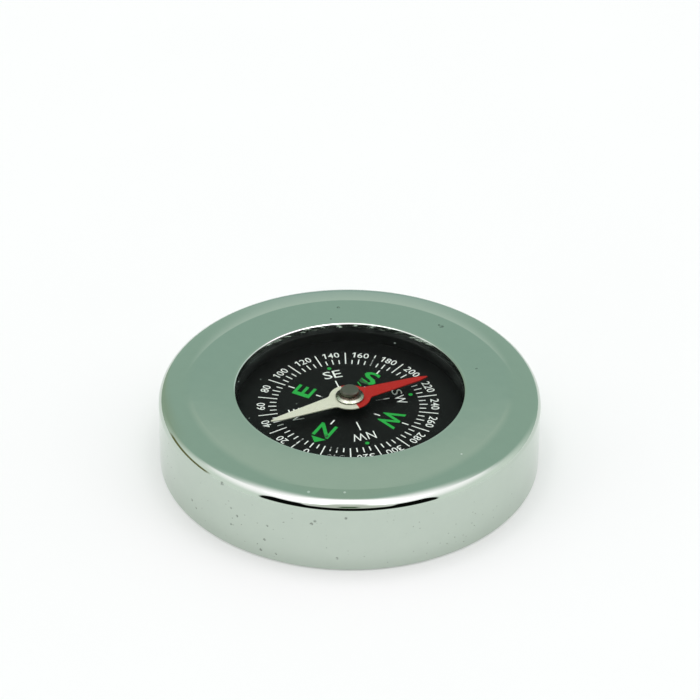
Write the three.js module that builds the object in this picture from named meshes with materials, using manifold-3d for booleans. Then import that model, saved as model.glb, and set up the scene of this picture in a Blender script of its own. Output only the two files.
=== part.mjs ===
// Metal compass: a chromed ring case with a needle compass set in its round window
// Lengths are in millimetres. The compass stands on z = 0 and its axis is the z axis.
// On the dial, north lies along +y and east along +x.

import * as THREE from "three";
import { mergeVertices } from "three/addons/utils/BufferGeometryUtils.js";
import Module from "manifold-3d";

// Case, drawn from one sheet: flat top, gently curved outer band, rounded edge, straight side wall
const CASE_RADIUS = 37.3;
const CASE_TOP = 15.8;
const SHEET = 0.9;
const SHELL_FOOT = 0.2;
const FOOT_ROUND = 0.2;
const BAND_WIDTH = 6.8;
const BAND_TILT = 17.4;
const EDGE_ROUND = 2;

// Window and its lens, a low dome on a flange
const WINDOW_RADIUS = 22.4;
const LIP_ROUND = 1;
const LIP_TILT = 28;
const WINDOW_GAP = 0.1;
const GASKET_THICKNESS = 0.3;
const GASKET_SETBACK = 0.5;
const CRYSTAL_THICKNESS = 0.7;
const CRYSTAL_SETBACK = 0.95;
const CRYSTAL_PROUD = 0.8;
const FLANGE_WIDTH = 1.5;
const FLANGE_THICKNESS = 0.6;

// Cup under the lens
const CUP_STEP = 0.1;
const CUP_RIM = 1.45;
const CUP_FLOOR = 1.4;
const CUP_SKIRT = 2;

// Dial
const DIAL_DEPTH = 4.1;
const DIAL_THICKNESS = 0.4;

// Pivot pin in its bush
const BUSH_RADIUS = 1.5;
const BUSH_PROUD = 0.6;
const BUSH_HEAD = 0.8;
const BUSH_HEAD_RADIUS = 2.6;
const PIN_RADIUS = 0.35;
const PIN_TAPER = 0.85;
const PIVOT_GAP = 0.25;

// Jewel in the needle's cap
const JEWEL_RADIUS = 0.85;
const JEWEL_HEIGHT = 0.85;
const JEWEL_RECESS = 0.6;
const JEWEL_MOUTH = 0.55;

// Needle blade, with a ring round its middle
const NEEDLE_BEARING = 215;
const NEEDLE_LIFT = 1.8;
const NEEDLE_REACH = 17.1;
const NEEDLE_DROOP = 0.36;
const BLADE_THICKNESS = 0.25;
const BLADE_ROOT = 1.8;
const BLADE_SHOULDER = 0.68;
const BLADE_TIP = 0.12;
const POINT_LENGTH = 1.9;
const RING_RADIUS = 4.05;
const RING_HOLE = 2.7;

// Needle cap and collar
const CAP_ROOM = 0.3;
const CAP_RADIUS = 1.81;
const CAP_HEAD = 0.85;
const CAP_BEVEL = 0.15;
const CAP_ROOF = 0.5;
const CAP_NECK = 1.3;
const COLLAR_GAP = 0.1;
const COLLAR_SLEEVE = 2;
const COLLAR_DISC = 0.3;
const COLLAR_DISC_RADIUS = 3.5;
const FLARE_RADIUS = 2.77;
const FLARE_LIFT = 0.3;
const FLARE_EDGE = 0.15;
const FLARE_LAND = 0.15;

// Moulded carrier that fills the case round the cup
const CARRIER_PLATE = 1.6;
const CARRIER_SKIRT = 1.5;
const GUIDE_WALL = 1.5;
const GUIDE_DEPTH = 4;
const POST_COUNT = 4;
const POST_RADIUS = 2.3;

// Brass ballast ring under the cup
const BALLAST_BORE = 6;
const BALLAST_THICKNESS = 5.5;
const BALLAST_PLAY = 0.3;

// Base plate, foam ring and felt pad
const PAD_THICKNESS = 1.1;
const PAD_GAP = 0.4;
const PLATE_THICKNESS = 1.5;
const CUSHION_THICKNESS = 1.5;
const CUSHION_WIDTH = 3;

// Base screws
const SCREW_HEAD_RADIUS = 1.7;
const SCREW_HEAD_HEIGHT = 0.9;
const SCREW_SUNK = 0.1;
const SCREW_RADIUS = 0.8;
const SCREW_LENGTH = 6.5;
const SCREW_POINT = 1.2;
const CROSS_LENGTH = 1.8;
const CROSS_WIDTH = 0.35;
const CROSS_DEPTH = 0.45;

// Clearances round pieces that sit inside each other
const FIT = 0.15;
const PIN_FIT = 0.05;

// Roundness of the turned pieces
const CASE_SIDES = 72;
const NEEDLE_SIDES = 36;
const SCREW_SIDES = 24;
const ARC_STEPS = 3;
const CUTTER_REACH = 1;

// Heights worked out from the top of the case down
const sheetUnder = CASE_TOP - SHEET;
const rimTop = sheetUnder - GASKET_THICKNESS;
const crystalSeat = rimTop - FLANGE_THICKNESS;
const crystalEdge = CASE_TOP - CRYSTAL_SETBACK;
const crystalTop = CASE_TOP + CRYSTAL_PROUD;
const crystalUnder = crystalTop - CRYSTAL_THICKNESS;
const dialTop = CASE_TOP - DIAL_DEPTH;
const floorTop = dialTop - DIAL_THICKNESS;
const floorUnder = floorTop - CUP_FLOOR;

// Heights worked out from the surface up
const plateTop = PAD_THICKNESS + PLATE_THICKNESS;
const cushionTop = plateTop + CUSHION_THICKNESS;
const screwHeadFace = PAD_THICKNESS + SCREW_SUNK;
const screwTip = screwHeadFace + SCREW_LENGTH;

// Heights of the needle
const bladeUnder = dialTop + NEEDLE_LIFT;
const bladeTop = bladeUnder + BLADE_THICKNESS;
const capTop = crystalUnder - CAP_ROOM;
const capHeadUnder = capTop - CAP_HEAD;
const jewelTop = capTop - CAP_ROOF;
const jewelUnder = jewelTop - JEWEL_HEIGHT;
const recessTop = jewelUnder + JEWEL_RECESS;
const pinTip = recessTop - PIVOT_GAP;

// Curved band and rounded edge of the case, each running smoothly into the next
const bandTilt = THREE.MathUtils.degToRad(BAND_TILT);
const bandStart = CASE_RADIUS - BAND_WIDTH;
const edgeRadius = CASE_RADIUS - EDGE_ROUND;
const bandRadius = EDGE_ROUND + (edgeRadius - bandStart) / Math.sin(bandTilt);
const bandDrop = bandRadius * (1 - Math.cos(bandTilt));
const bandUnder = sheetUnder - bandDrop;
const edgeHeight = CASE_TOP - bandDrop - EDGE_ROUND * Math.cos(bandTilt);

// Radii of what nests
const shellBore = CASE_RADIUS - SHEET;
const crystalNeck = WINDOW_RADIUS - WINDOW_GAP;
const flangeRadius = crystalNeck + FLANGE_WIDTH;
const rebateRadius = flangeRadius + FIT;
const cupBore = crystalNeck + CUP_STEP;
const cupRadius = rebateRadius + CUP_RIM;
const bushHole = BUSH_RADIUS + FIT;
const guideBore = cupRadius + FIT;
const guideRadius = guideBore + GUIDE_WALL;
const carrierRadius = shellBore - FIT;
const skirtBore = carrierRadius - CARRIER_SKIRT;
const postCircle = (guideRadius + skirtBore) / 2;
const cushionBore = cupRadius - CUSHION_WIDTH;
const plateRadius = shellBore - FIT;
const padRadius = shellBore - PAD_GAP;
const capBore = JEWEL_RADIUS + PIN_FIT;
const collarBore = CAP_NECK + FIT;

const wasm = await Module();
wasm.setup();
const compass = new THREE.Group();

// A finish for one piece
function finish(color, roughness, metalness) {
  return new THREE.MeshStandardMaterial({ color, roughness, metalness });
}

// Adds a finished piece to the compass and returns it
function add(name, geometry, material, parent = compass) {
  const mesh = new THREE.Mesh(geometry, material);
  mesh.name = name;
  parent.add(mesh);
  return mesh;
}

// An outline of radius and height through the given corners
function outline(...corners) {
  const path = new THREE.Path();
  path.moveTo(...corners[0]);
  corners.slice(1).forEach(([radius, height]) => path.lineTo(radius, height));
  return path;
}

// Radius of the circle that rises by a given height over a given half width
function circleRadius(halfWidth, rise) {
  return (halfWidth ** 2 + rise ** 2) / (2 * rise);
}

// Adds half of a dome's section, from the axis out to its rim
function domeOut(path, radius, rim, top) {
  const sphere = circleRadius(radius, top - rim);
  const centre = top - sphere;
  path.absarc(0, centre, sphere, Math.PI / 2, Math.atan2(rim - centre, radius), true);
}

// Turns an outline round the z axis
function turned(path, sides) {
  const points = path.getPoints(ARC_STEPS);
  const first = points[0];
  const onAxis = first.x === 0;
  if (!onAxis && !points.at(-1).equals(first)) points.push(first.clone());
  if (THREE.ShapeUtils.area(points) < 0) points.reverse();
  return new THREE.LatheGeometry(points, sides).rotateX(Math.PI / 2);
}

// The solid of a closed geometry, with its vertices merged and its empty triangles left out
function solidOf(geometry) {
  const bare = geometry.clone();
  bare.deleteAttribute("normal");
  bare.deleteAttribute("uv");
  const welded = mergeVertices(bare);
  const corners = welded.index.array;
  const triangles = [];
  for (let i = 0; i < corners.length; i += 3) {
    const [a, b, c] = corners.slice(i, i + 3);
    if (a !== b && b !== c && c !== a) triangles.push(a, b, c);
  }
  const vertProperties = welded.attributes.position.array;
  const triVerts = new Uint32Array(triangles);
  return new wasm.Manifold(new wasm.Mesh({ numProp: 3, vertProperties, triVerts }));
}

// The geometry of a solid
function geometryOf(solid) {
  const { vertProperties, triVerts } = solid.getMesh();
  const geometry = new THREE.BufferGeometry();
  geometry.setAttribute("position", new THREE.BufferAttribute(vertProperties, 3));
  geometry.setIndex(new THREE.BufferAttribute(triVerts, 1));
  geometry.computeVertexNormals();
  return geometry;
}

// The centres of the screws and of the posts that they run into
function postCentres() {
  return Array.from({ length: POST_COUNT }, (_, i) => {
    const angle = ((i + 0.5) / POST_COUNT) * 2 * Math.PI;
    return [postCircle * Math.cos(angle), postCircle * Math.sin(angle)];
  });
}

// Joins or cuts a solid with a copy of one shape at each post
function atPosts(solid, geometry, action) {
  return postCentres().reduce((result, [x, y]) => {
    return result[action](solidOf(geometry.clone().translate(x, y, 0)));
  }, solid);
}

function caseShell() {
  const path = new THREE.Path();
  const upward = Math.PI / 2;
  const lipTilt = THREE.MathUtils.degToRad(LIP_TILT);
  const lipCentre = WINDOW_RADIUS + LIP_ROUND * Math.sin(lipTilt);
  path.moveTo(bandStart, sheetUnder);
  path.lineTo(WINDOW_RADIUS, sheetUnder);
  path.absarc(lipCentre, CASE_TOP - LIP_ROUND, LIP_ROUND, upward + lipTilt, upward, true);
  path.absarc(bandStart, CASE_TOP - bandRadius, bandRadius, upward, upward - bandTilt, true);
  path.absarc(edgeRadius, edgeHeight, EDGE_ROUND, upward - bandTilt, 0, true);
  const footCentre = SHELL_FOOT + FOOT_ROUND;
  path.absarc(CASE_RADIUS - FOOT_ROUND, footCentre, FOOT_ROUND, 0, -Math.PI / 2, true);
  path.lineTo(shellBore, SHELL_FOOT);
  path.lineTo(shellBore, edgeHeight);
  path.lineTo(edgeRadius, bandUnder);
  return turned(path, CASE_SIDES);
}

function windowGasket() {
  const bore = WINDOW_RADIUS + GASKET_SETBACK;
  const corners = [[bore, rimTop], [cupRadius, rimTop], [cupRadius, sheetUnder], [bore, sheetUnder]];
  return turned(outline(...corners), CASE_SIDES);
}

function crystal() {
  const path = new THREE.Path();
  path.moveTo(0, crystalTop);
  domeOut(path, crystalNeck, crystalEdge, crystalTop);
  path.lineTo(crystalNeck, rimTop);
  path.lineTo(flangeRadius, rimTop);
  path.lineTo(flangeRadius, crystalSeat);
  const inner = new THREE.Path();
  inner.moveTo(0, crystalUnder);
  domeOut(inner, crystalNeck - CRYSTAL_THICKNESS, crystalSeat, crystalUnder);
  const back = inner.getPoints(ARC_STEPS).reverse();
  back.forEach(({ x, y }) => path.lineTo(x, y));
  return turned(path, CASE_SIDES);
}

function capsuleCup() {
  const skirt = cupRadius - CUP_SKIRT;
  const lower = [[bushHole, floorUnder], [skirt, floorUnder], [skirt, cushionTop], [cupRadius, cushionTop]];
  const rim = [[cupRadius, rimTop], [rebateRadius, rimTop], [rebateRadius, crystalSeat]];
  const bore = [[cupBore, crystalSeat], [cupBore, floorTop], [bushHole, floorTop]];
  return turned(outline(...lower, ...rim, ...bore), CASE_SIDES);
}

function dialPlate() {
  const edge = cupBore - FIT;
  const corners = [[bushHole, floorTop], [edge, floorTop], [edge, dialTop], [bushHole, dialTop]];
  return turned(outline(...corners), CASE_SIDES);
}

function pivotBush() {
  const foot = floorUnder - BUSH_HEAD;
  const top = dialTop + BUSH_PROUD;
  const bore = PIN_RADIUS + PIN_FIT;
  const head = [[0, foot], [BUSH_HEAD_RADIUS, foot], [BUSH_HEAD_RADIUS, floorUnder]];
  const stem = [[BUSH_RADIUS, floorUnder], [BUSH_RADIUS, top]];
  const hole = [[bore, top], [bore, floorUnder], [0, floorUnder]];
  return turned(outline(...head, ...stem, ...hole), NEEDLE_SIDES);
}

function pivotPin() {
  const shoulder = pinTip - PIN_TAPER;
  const corners = [[0, floorUnder], [PIN_RADIUS, floorUnder], [PIN_RADIUS, shoulder], [0, pinTip]];
  return turned(outline(...corners), NEEDLE_SIDES);
}

function jewelBearing() {
  const recess = [[0, recessTop], [JEWEL_MOUTH, jewelUnder]];
  const body = [[JEWEL_RADIUS, jewelUnder], [JEWEL_RADIUS, jewelTop], [0, jewelTop]];
  return turned(outline(...recess, ...body), NEEDLE_SIDES);
}

function needleCap() {
  const bore = [[0, jewelTop], [capBore, jewelTop], [capBore, bladeUnder]];
  const neck = [[CAP_NECK, bladeUnder], [CAP_NECK, capHeadUnder], [CAP_RADIUS, capHeadUnder]];
  const head = [[CAP_RADIUS, capTop - CAP_BEVEL], [CAP_RADIUS - CAP_BEVEL, capTop], [0, capTop]];
  return turned(outline(...bore, ...neck, ...head), NEEDLE_SIDES);
}

function needleCollar() {
  const discUnder = bladeUnder - COLLAR_DISC;
  const flareRim = bladeTop + FLARE_LIFT;
  const flareUnder = flareRim - FLARE_EDGE;
  const flareTop = capHeadUnder - COLLAR_GAP;
  const land = collarBore + FLARE_LAND;
  const disc = [[collarBore, discUnder], [COLLAR_DISC_RADIUS, discUnder], [COLLAR_DISC_RADIUS, bladeUnder]];
  const sleeve = [[COLLAR_SLEEVE, bladeUnder], [COLLAR_SLEEVE, flareUnder]];
  const rim = [[FLARE_RADIUS, flareUnder], [FLARE_RADIUS, flareRim]];
  const path = outline(...disc, ...sleeve, ...rim);
  path.lineTo(land, flareTop);
  path.lineTo(collarBore, flareTop);
  return turned(path, NEEDLE_SIDES);
}

// Lowers the arms of the blade towards their points
function droop(blade) {
  const corners = blade.attributes.position;
  for (let i = 0; i < corners.count; i += 1) {
    const along = Math.max(0, Math.abs(corners.getY(i)) - RING_RADIUS);
    const fall = (NEEDLE_DROOP * along) / (NEEDLE_REACH - RING_RADIUS);
    corners.setZ(i, corners.getZ(i) - fall);
  }
  return blade;
}

// One steel blade with a pointed arm each way out of a ring, its red arm along +y
function needleBlade() {
  const shape = new THREE.Shape();
  const root = Math.asin(BLADE_ROOT / RING_RADIUS);
  const shoulder = NEEDLE_REACH - POINT_LENGTH;
  for (const side of [1, -1]) {
    const up = (side * Math.PI) / 2;
    shape.absarc(0, 0, RING_RADIUS, up + Math.PI + root, up - root, false);
    shape.lineTo(side * BLADE_SHOULDER, side * shoulder);
    shape.lineTo(side * BLADE_TIP, side * NEEDLE_REACH);
    shape.lineTo(-side * BLADE_TIP, side * NEEDLE_REACH);
    shape.lineTo(-side * BLADE_SHOULDER, side * shoulder);
  }
  shape.closePath();
  shape.holes.push(new THREE.Path().absarc(0, 0, RING_HOLE, 0, 2 * Math.PI, true));
  const blade = new THREE.ExtrudeGeometry(shape, {
    depth: BLADE_THICKNESS,
    bevelEnabled: false,
    curveSegments: NEEDLE_SIDES / 2,
  });
  return droop(blade).translate(0, 0, bladeUnder);
}

// Top plate under the case's flat, a skirt inside its wall, a guide round the cup and posts for the screws
function capsuleCarrier() {
  const plateUnder = sheetUnder - CARRIER_PLATE;
  const guideUnder = plateUnder - GUIDE_DEPTH;
  const guide = [[guideBore, guideUnder], [guideRadius, guideUnder], [guideRadius, plateUnder]];
  const skirt = [[skirtBore, plateUnder], [skirtBore, plateTop], [carrierRadius, plateTop]];
  const bend = [[carrierRadius, edgeHeight - FIT], [edgeRadius - FIT, bandUnder - FIT]];
  const top = [[bandStart - FIT, sheetUnder], [guideBore, sheetUnder]];
  const body = solidOf(turned(outline(...guide, ...skirt, ...bend, ...top), CASE_SIDES));
  const middle = (sheetUnder + plateUnder) / 2;
  const bore = SCREW_RADIUS + FIT;
  const boreTop = screwTip + FIT;
  const lower = [[bore, plateTop], [POST_RADIUS, plateTop], [POST_RADIUS, middle]];
  const post = turned(outline(...lower, [0, middle], [0, boreTop], [bore, boreTop]), SCREW_SIDES);
  return geometryOf(atPosts(body, post, "add"));
}

function ballastRing() {
  const edge = cushionBore - BALLAST_PLAY;
  const top = plateTop + BALLAST_THICKNESS;
  const corners = [[BALLAST_BORE, plateTop], [edge, plateTop], [edge, top], [BALLAST_BORE, top]];
  return turned(outline(...corners), CASE_SIDES);
}

function cushionRing() {
  const lower = [[cushionBore, plateTop], [cupRadius, plateTop]];
  const upper = [[cupRadius, cushionTop], [cushionBore, cushionTop]];
  return turned(outline(...lower, ...upper), CASE_SIDES);
}

function basePlate() {
  const under = [[0, PAD_THICKNESS], [plateRadius, PAD_THICKNESS]];
  const top = [[plateRadius, plateTop], [0, plateTop]];
  const disc = solidOf(turned(outline(...under, ...top), CASE_SIDES));
  const low = PAD_THICKNESS - CUTTER_REACH;
  const high = plateTop + CUTTER_REACH;
  const head = SCREW_HEAD_RADIUS + FIT;
  const hole = SCREW_RADIUS + FIT;
  const coneTop = screwHeadFace + SCREW_HEAD_HEIGHT;
  const sink = [[0, low], [head, low], [head, screwHeadFace], [hole, coneTop], [hole, high], [0, high]];
  return geometryOf(atPosts(disc, turned(outline(...sink), SCREW_SIDES), "subtract"));
}

// Countersunk screw on the z axis, its head down, with a crossed slot
function baseScrew() {
  const coneTop = screwHeadFace + SCREW_HEAD_HEIGHT;
  const head = [[0, screwHeadFace], [SCREW_HEAD_RADIUS, screwHeadFace], [SCREW_RADIUS, coneTop]];
  const shank = [[SCREW_RADIUS, screwTip - SCREW_POINT], [0, screwTip]];
  const body = solidOf(turned(outline(...head, ...shank), SCREW_SIDES));
  const slot = new THREE.BoxGeometry(CROSS_LENGTH, CROSS_WIDTH, 2 * CROSS_DEPTH);
  slot.translate(0, 0, screwHeadFace);
  const across = slot.clone().rotateZ(Math.PI / 2);
  return geometryOf(body.subtract(solidOf(slot)).subtract(solidOf(across)));
}

function feltPad() {
  const corners = [[0, 0], [padRadius, 0], [padRadius, PAD_THICKNESS], [0, PAD_THICKNESS]];
  return turned(outline(...corners), CASE_SIDES);
}

// Case and window
add("case_shell", caseShell(), finish(0xa9b8ad, 0.12, 1));
add("window_gasket", windowGasket(), finish(0x141615, 0.7, 0));
add("crystal", crystal(), finish(0xf2f6f4, 0.03, 0));

// Compass capsule
add("capsule_cup", capsuleCup(), finish(0x151716, 0.3, 0));
add("dial_plate", dialPlate(), finish(0x181a19, 0.35, 0));
add("pivot_bush", pivotBush(), finish(0xb08d4a, 0.3, 1));
add("pivot_pin", pivotPin(), finish(0xb9bcbe, 0.2, 1));

// Needle, turned to its bearing on the dial
const needle = new THREE.Group();
needle.rotation.z = -THREE.MathUtils.degToRad(NEEDLE_BEARING);
compass.add(needle);
add("needle_blade", needleBlade(), finish(0xb2261f, 0.45, 0), needle);
add("needle_collar", needleCollar(), finish(0xd8d6c8, 0.2, 1), needle);
add("needle_cap", needleCap(), finish(0x555750, 0.4, 1), needle);
add("jewel_bearing", jewelBearing(), finish(0x8c1f33, 0.1, 0), needle);

// Filling of the case
add("capsule_carrier", capsuleCarrier(), finish(0x202221, 0.6, 0));
add("ballast_ring", ballastRing(), finish(0xa98b4f, 0.4, 1));
add("cushion_ring", cushionRing(), finish(0x2b2d2c, 0.95, 0));

// Underside
add("base_plate", basePlate(), finish(0x1c1e1d, 0.55, 0));
postCentres().forEach(([x, y], i) => {
  add(`base_screw_${i + 1}`, baseScrew(), finish(0x8e9194, 0.35, 1)).position.set(x, y, 0);
});
add("felt_pad", feltPad(), finish(0x1f3a2a, 1, 0));

export default compass;
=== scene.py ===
# Metal compass: the finished looks of its pieces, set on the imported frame
import math

import bmesh
import bpy
from mathutils import Matrix, Vector


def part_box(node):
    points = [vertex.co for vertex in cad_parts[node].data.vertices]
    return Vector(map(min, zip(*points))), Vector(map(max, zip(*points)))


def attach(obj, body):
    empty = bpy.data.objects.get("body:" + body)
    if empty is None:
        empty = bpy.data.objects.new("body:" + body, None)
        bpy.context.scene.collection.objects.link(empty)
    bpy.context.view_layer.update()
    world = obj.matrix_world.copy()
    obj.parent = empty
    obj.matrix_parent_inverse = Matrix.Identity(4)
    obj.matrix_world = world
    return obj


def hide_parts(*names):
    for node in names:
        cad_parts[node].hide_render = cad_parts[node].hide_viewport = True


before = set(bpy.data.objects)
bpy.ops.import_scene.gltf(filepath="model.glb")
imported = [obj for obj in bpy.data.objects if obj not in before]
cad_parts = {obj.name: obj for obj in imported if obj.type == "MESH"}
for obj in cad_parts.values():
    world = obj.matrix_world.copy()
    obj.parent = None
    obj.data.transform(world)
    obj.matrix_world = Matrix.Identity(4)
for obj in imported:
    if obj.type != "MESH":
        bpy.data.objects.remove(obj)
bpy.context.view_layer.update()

MM = 0.001
UP = Vector((0, 0, 1))
LEVEL = (1, 1, 0)

# Where the camera stands, in degrees and metres, and how it is turned
# Bearings run clockwise from the dial's north.
VIEW_BEARING = 332.2
VIEW_RISE = 34.6
VIEW_ROLL = 0.57
VIEW_DEPTH = 0.6625
VIEW_RIGHT = -0.000025
VIEW_UP = -0.00744
FOCAL_LENGTH = 174.86
FILM_WIDTH = 36


def corners_of(node):
    """The lowest and the highest corner of a node of the frame, in millimetres."""
    return [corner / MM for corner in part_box(node)]


# Sizes of the pieces, in millimetres, read from the frame
case_low, case_high = corners_of("case_shell")
lens_low, lens_high = corners_of("crystal")
cup_low, cup_high = corners_of("capsule_cup")
dial_low, dial_high = corners_of("dial_plate")
bush_low, bush_high = corners_of("pivot_bush")
pin_low, pin_high = corners_of("pivot_pin")
gasket_low, gasket_high = corners_of("window_gasket")
blade_high = corners_of("needle_blade")[1]
collar_low, collar_high = corners_of("needle_collar")
cap_low, cap_high = corners_of("needle_cap")
jewel_low, jewel_high = corners_of("jewel_bearing")
felt_low, felt_high = corners_of("felt_pad")

# Case, in millimetres and degrees
SHEET = 0.9
WINDOW_RADIUS = 22.4
LIP_ROUND = 0.1
LIP_BEND = 1
LIP_TILT = 28
LIP_LEAN = 0.04
LIP_FOOT = 15.55
BAND_START = 30.5
BAND_TILT = 17.4
EDGE_ROUND = 2
FOOT_ROUND = 0.2

# Lens, cup and dial
LENS_THICKNESS = 0.7
LENS_NECK = 22.3
LENS_EDGE = 14.85
FLANGE_TOP = 14.6
CUP_BORE = 22.4
CUP_REBATE = 23.95
CUP_SEAT = 14
CUP_SKIRT = 23.4
CUP_UNDER = 9.9
GASKET_BORE = 22.9
DIAL_HOLE = 1.65

# Pivot
BUSH_HEAD = 2.6
BUSH_STEM = 1.5
BUSH_BORE = 0.4
PIN_TAPER = 0.85
PIN_POINT = 0.04

# Needle, along its own length
NEEDLE_BEARING = 215
NEEDLE_REACH = 17.1
NEEDLE_DROOP = 0.36
POINT_LENGTH = 1.9
ARM_ROOT = 1.8
ARM_SHOULDER = 0.68
ARM_TIP = 0.12
RING_RADIUS = 4.05
RING_HOLE = 2.7
RING_FILLET = 1.3
BLADE_THICKNESS = 0.25
BLADE_EDGE = 0.05

# Collar, cap and jewel of the needle
COLLAR_BORE = 1.45
COLLAR_SLEEVE = 2
FLARE_RADIUS = 2.77
FLARE_LIFT = 0.3
FLARE_EDGE = 0.15
FLARE_LAND = 0.15
CAP_NECK = 1.3
CAP_HOLLOW = 0.9
CAP_HEAD = 0.85
CAP_BEVEL = 0.2
JEWEL_RECESS = 0.6
JEWEL_MOUTH = 0.55

# Faces round the turned pieces
TURNED_SIDES = 256
FELT_SIDES = 192
NEEDLE_SIDES = 96
BUSH_SIDES = 64
JEWEL_SIDES = 48
PIN_SIDES = 32


class Wire:
    """One output of a node tree, which sums and products can be written with."""

    def __init__(self, net, socket):
        self.net = net
        self.socket = socket

    def math(self, operation, *others):
        values = dict(enumerate((self, *others)))
        return self.net.out("ShaderNodeMath", {"operation": operation}, values)

    def __add__(self, other):
        return self.math("ADD", other)

    def __sub__(self, other):
        return self.math("SUBTRACT", other)

    def __rsub__(self, other):
        return self.net.out("ShaderNodeMath", {"operation": "SUBTRACT"}, {0: other, 1: self})

    def __mul__(self, other):
        return self.math("MULTIPLY", other)

    def __truediv__(self, other):
        return self.math("DIVIDE", other)

    def __rtruediv__(self, other):
        return self.net.out("ShaderNodeMath", {"operation": "DIVIDE"}, {0: other, 1: self})

    def __pow__(self, other):
        return self.math("POWER", other)

    __radd__ = __add__
    __rmul__ = __mul__

    def rise(self, start, end):
        """0 below start, 1 above end, smooth between them."""
        settings = {"interpolation_type": "SMOOTHSTEP"}
        sockets = {"Value": self, "From Min": start, "From Max": end}
        return self.net.out("ShaderNodeMapRange", settings, sockets)

    def between(self, low, high, soft):
        """1 between low and high, 0 outside, with soft edges."""
        return self.rise(low - soft, low + soft) * (1 - self.rise(high - soft, high + soft))


class Net:
    """A node tree, made one node at a time."""

    def __init__(self, tree):
        tree.nodes.clear()
        self.tree = tree

    def node(self, kind, settings=None, sockets=None):
        made = self.tree.nodes.new(kind)
        for name, value in (settings or {}).items():
            if name == "stops":
                ramp = made.color_ramp
                while len(ramp.elements) < len(value):
                    ramp.elements.new(1)
                for element, (place, color) in zip(ramp.elements, value):
                    element.position = place
                    element.color = (*color, 1)
            else:
                setattr(made, name, value)
        for key, value in (sockets or {}).items():
            socket = made.inputs[key]
            if isinstance(value, Wire):
                self.tree.links.new(value.socket, socket)
            elif socket.type == "RGBA" and len(value) == 3:
                socket.default_value = (*value, 1)
            else:
                socket.default_value = value
        return made

    def out(self, kind, settings=None, sockets=None, output=0):
        return Wire(self, self.node(kind, settings, sockets).outputs[output])

    def place(self):
        """The point on the piece, in millimetres."""
        spot = self.out("ShaderNodeTexCoord", output="Object")
        return self.vector("SCALE", spot, scale=1 / MM)

    def vector(self, operation, *values, scale=None, output=0):
        sockets = dict(enumerate(values))
        if scale is not None:
            sockets["Scale"] = scale
        return self.out("ShaderNodeVectorMath", {"operation": operation}, sockets, output)

    def parts(self, vector):
        made = self.node("ShaderNodeSeparateXYZ", None, {0: vector})
        return [Wire(self, socket) for socket in made.outputs]

    def radius(self, place):
        """How far the point lies from the case's axis."""
        return self.vector("LENGTH", self.vector("MULTIPLY", place, LEVEL), output="Value")

    def toward(self, place, bearing):
        """How far the point lies from the axis towards a bearing in degrees."""
        turn = math.radians(bearing)
        way = (math.sin(turn), math.cos(turn), 0)
        return self.vector("DOT_PRODUCT", place, way, output="Value")

    def either(self, first, second):
        """The greater of two masks."""
        return first.math("MAXIMUM", second)

    def blend(self, mask, first, second):
        """The first colour where the mask is 0, the second where it is 1."""
        sockets = {0: mask, 6: first, 7: second}
        return self.out("ShaderNodeMix", {"data_type": "RGBA"}, sockets, 2)

    def ramp(self, value, *stops, interpolation="LINEAR"):
        made = self.node("ShaderNodeValToRGB", {"stops": stops}, {0: value})
        made.color_ramp.interpolation = interpolation
        return Wire(self, made.outputs[0])

    def noise(self, place, size, detail=2.0, roughness=0.5):
        """Smooth noise about 0.5, with bumps of a size in millimetres."""
        sockets = {"Vector": place, "Scale": 1 / size, "Detail": detail, "Roughness": roughness}
        return self.out("ShaderNodeTexNoise", None, sockets)

    def cells(self, place, size, feature="F1", output="Distance"):
        """Scattered points about one size apart, in millimetres."""
        sockets = {"Vector": place, "Scale": 1 / size}
        return self.out("ShaderNodeTexVoronoi", {"feature": feature}, sockets, output)

    def specks(self, place, spots):
        """1 in each round spot, given as its centre and its radius in millimetres."""
        total = None
        for centre, radius in spots:
            gap = self.vector("DISTANCE", place, centre, output="Value")
            spot = 1 - gap.rise(0.5 * radius, 1.1 * radius)
            total = self.either(total, spot) if total else spot
        return total

    def bump(self, height, depth):
        """A bump of a depth in millimetres over a height that runs from 0 to 1."""
        return self.out("ShaderNodeBump", None, {"Height": height, "Distance": depth * MM})

    def surface(self, sockets):
        shader = self.out("ShaderNodeBsdfPrincipled", None, sockets)
        self.node("ShaderNodeOutputMaterial", None, {"Surface": shader})


def finish(name, build):
    """A material whose net is filled by the given function."""
    material = bpy.data.materials.new(name)
    material.use_nodes = True
    build(Net(material.node_tree))
    return material


# Mesh helpers

def eased(corners, steps=6, hold=0.02):
    """An outline through corners of radius, height and ease, each eased by an arc of that radius."""
    points = []
    for i, (x, y, ease) in enumerate(corners):
        here = Vector((x, y))
        if not ease:
            points.append(here)
            continue
        before = (Vector(corners[i - 1][:2]) - here).normalized()
        after = (Vector(corners[(i + 1) % len(corners)][:2]) - here).normalized()
        half = before.angle(after) / 2
        reach = ease / math.tan(half)
        centre = here + (before + after).normalized() * (ease / math.sin(half))
        start = here + before * reach - centre
        sweep = start.angle_signed(here + after * reach - centre)
        points.append(here + before * (reach + hold))
        for step in range(steps + 1):
            turn = Matrix.Rotation(-sweep * step / steps, 2)
            points.append(centre + turn @ start)
        points.append(here + after * (reach + hold))
    return points


def arc(centre, radius, start, end, steps):
    """Points of an arc, with its angles in radians away from straight up."""
    turns = [start + (end - start) * step / steps for step in range(steps + 1)]
    return [centre + radius * Vector((math.sin(a), math.cos(a))) for a in turns]


def dome(radius, rim, top, steps=24):
    """The section of a low dome, from its top on the axis out to its rim."""
    rise = top - rim
    sphere = (radius ** 2 + rise ** 2) / (2 * rise)
    return arc(Vector((0, top - sphere)), sphere, 0, math.asin(radius / sphere), steps)


def smooth(mesh, sharp=35):
    mesh.shade_smooth()
    mesh.set_sharp_from_angle(angle=math.radians(sharp))


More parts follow.
